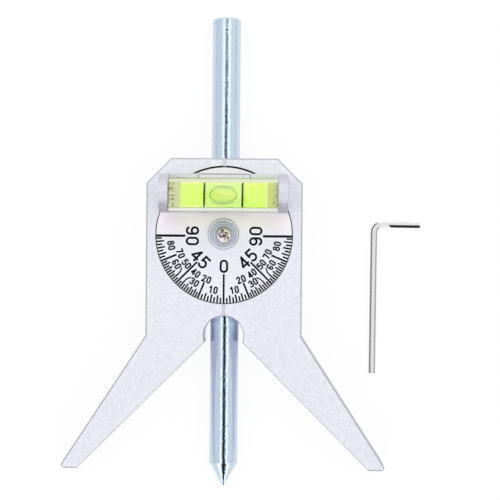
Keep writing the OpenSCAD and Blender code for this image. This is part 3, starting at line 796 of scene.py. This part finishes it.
def liquid_with_bubble():
    """The liquid, a cylinder that just clears the lines' rings, with the bubble as a hollow of another material."""
    radius = (LIQUID_HIGH.z - LIQUID_LOW.z) / 2 - LIQUID_IN_RINGS
    half = (LIQUID_HIGH.x - LIQUID_LOW.x) / 2
    made = lathe([(-half, 0), (-half, radius), (half, radius), (half, 0)], "x", BORE_CENTRE)
    bubble = lathe(
        quarter(180, 90, BUBBLE_R, -BUBBLE_RUN) + quarter(90, 0, BUBBLE_R, BUBBLE_RUN), "x",
        Vector((0, BORE_CENTRE.y, LIQUID_HIGH.z - BUBBLE_COVER - BUBBLE_R)),
    )
    bmesh.ops.reverse_faces(bubble, faces=bubble.faces)
    for face in bubble.faces:
        face.material_index = 1
    bubble_data = bpy.data.meshes.new("bubble_data")
    bubble.to_mesh(bubble_data)
    bubble.free()
    made.from_mesh(bubble_data)
    bpy.data.meshes.remove(bubble_data)
    return made


new_piece(
    "dial_ink",
    groove_fill("dial", HEAD_FRONT - DIAL_MARK_DEPTH, HEAD_FRONT - INK_BELOW_FACE),
    "dial_ink", "dial", ALL_FLAT,
)

# The clear block is solid here, with the liquid set in it, so that light bends as it does in a real vial
BLOCK_OVER_PAD = Vector((0, 0, 0.05 * MM))
block = new_piece(
    "vial_block",
    rounded_block(BLOCK_LOW + BLOCK_OVER_PAD, BLOCK_HIGH, 1.0 * MM, 0.25 * MM),
    "clear_acrylic", "dial", 20 * MM * MM,
)
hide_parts("vial_body")

washer = new_piece("washer_dished", dished_washer(), "washer_zinc", "head", ALL_SMOOTH)
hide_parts("dial_washer")

liquid = new_piece("vial_liquid_fill", liquid_with_bubble(), "liquid", "dial", ALL_SMOOTH)
liquid.data.materials.append(MATERIALS["bubble_skin"])
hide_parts("vial_liquid")


# Camera, table and lamps

CAMERA_PLACE = Vector((20.28, -5.55, 600)) * MM
CAMERA_TARGET = Vector((9.236, -5.173, 15)) * MM
CAMERA_ROLL_DEG = 0.472
CAMERA_LENS_MM, CAMERA_SENSOR_MM = 116.9, 36.0
TABLE_HALF = 1.5
TABLE_DROP = 0.05 * MM
TABLE_GLOW_SHARE, TABLE_GLOW = 0.88, 1.015


def look_at(place, target, roll_deg):
    """A camera's turn so that it looks from one point to another, with +Y up in the picture, then rolled."""
    forward = (target - place).normalized()
    right = forward.cross(Vector((0, 1, 0))).normalized()
    up = right.cross(forward)
    turn = Matrix((right, up, -forward)).transposed()
    return turn @ Matrix.Rotation(math.radians(roll_deg), 3, "Z")


def make_camera():
    data = bpy.data.cameras.new("camera")
    data.sensor_width = CAMERA_SENSOR_MM
    data.lens = CAMERA_LENS_MM
    data.clip_start, data.clip_end = 0.01, 20
    camera = bpy.data.objects.new("camera", data)
    camera.location = CAMERA_PLACE
    camera.rotation_euler = look_at(CAMERA_PLACE, CAMERA_TARGET, CAMERA_ROLL_DEG).to_euler()
    bpy.context.scene.collection.objects.link(camera)
    bpy.context.scene.camera = camera


def seen_directly(s):
    """1 for rays from the camera, and for those that metal reflects or that pass through the clear block."""
    path = s.add("LightPath").outputs
    rays = s.math("MAXIMUM", path["Is Camera Ray"], path["Is Glossy Ray"])
    return s.math("MAXIMUM", rays, path["Is Transmission Ray"])


def make_floor():
    """A white table that keeps a soft shadow."""
    made = bmesh.new()
    half = TABLE_HALF
    corners = [(-half, -half), (half, -half), (half, half), (-half, half)]
    made.faces.new([made.verts.new((x, y, -TABLE_DROP)) for x, y in corners])
    mesh = bpy.data.meshes.new("table")
    made.to_mesh(mesh)
    made.free()
    table = bpy.data.objects.new("table", mesh)
    bpy.context.scene.collection.objects.link(table)
    finish = bpy.data.materials.new("table_white")
    finish.use_nodes = True
    s = Shader(finish.node_tree)
    share = s.math("MULTIPLY", seen_directly(s), TABLE_GLOW_SHARE)
    matte = s.add("BsdfDiffuse", {"Color": grey(0.9)})
    glow = s.add("Emission", {"Color": grey(1.0), "Strength": TABLE_GLOW})
    both = s.add("MixShader", {0: share, 1: matte.outputs[0], 2: glow.outputs[0]})
    s.add("OutputMaterial", {"Surface": both.outputs[0]})
    mesh.materials.append(finish)


LAMP_MIDDLE_X = 0.05
LAMP_STRENGTH = 0.62
LOW_LAMP_STRENGTH = 0.9
GAP_DARKNESS = 0.97


def studio_light(s, x, y, z):
    """How bright the studio is in a direction: x goes across the tool, y along it and z up, each from -1 to 1.

    A soft lamp like a wide frame stands round the camera, with a dark gap in its middle and a low lamp at the feet's
    side, before pale walls that darken at the horizon.
    """
    side = s.math("ABSOLUTE", s.math("SUBTRACT", x, LAMP_MIDDLE_X))
    ends = s.math("ABSOLUTE", y)
    hole_side = s.math("SUBTRACT", side, s.fit(y, -0.12, 0.0, 0.03, 0.0))
    hole = s.all_of(
        s.under(hole_side, 0.185, 0.225, True), s.under(y, 0.14, 0.2, True), s.above(y, -0.4, -0.33, True),
    )
    lamp = s.all_of(
        s.under(side, 0.46, 0.56, True), s.under(ends, 0.6, 0.75, True), s.above(z, 0.0, 0.15, True),
        s.opposite(hole),
    )
    low_lamp = s.all_of(s.near(side, 0.3, 0.62, 0.06), s.under(y, -0.62, -0.56, True), s.above(z, 0.0, 0.08, True))
    behind = s.all_of(s.under(side, 0.2, 0.26, True), s.under(y, -0.78, -0.7, True))
    gap = s.math("MULTIPLY", s.math("ADD", hole, behind), s.above(z, 0.1, 0.25, True))

    wall = s.all_of(s.fit(x, -1, 1, 0.86, 0.94), s.fit(y, -1, 0.6, 0.85, 1.1))
    horizon = s.fit(s.math("ABSOLUTE", z), 0.04, 0.16, 0.6, 1.0, True)
    light = s.math("MULTIPLY", s.math("MULTIPLY_ADD", lamp, LAMP_STRENGTH, wall), horizon)
    light = s.math("MULTIPLY_ADD", low_lamp, LOW_LAMP_STRENGTH, light)
    return s.math("MULTIPLY", light, s.opposite(s.math("MULTIPLY", gap, GAP_DARKNESS)))


def make_world():
    """The studio's light, with plain white where the camera looks past the table."""
    world = bpy.data.worlds.new("studio")
    world.use_nodes = True
    s = Shader(world.node_tree)
    light = studio_light(s, *s.parts(s.add("TexCoord").outputs["Generated"]))
    white = s.add("LightPath").outputs["Is Camera Ray"]
    strength = s.math("ADD", s.math("MULTIPLY", light, s.opposite(white)), white)
    back = s.add("Background", {"Color": grey(1.0), "Strength": strength})
    s.add("OutputWorld", {"Surface": back.outputs[0]})
    bpy.context.scene.world = world


make_camera()
make_floor()
make_world()
bpy.context.scene.view_settings.view_transform = "Standard"
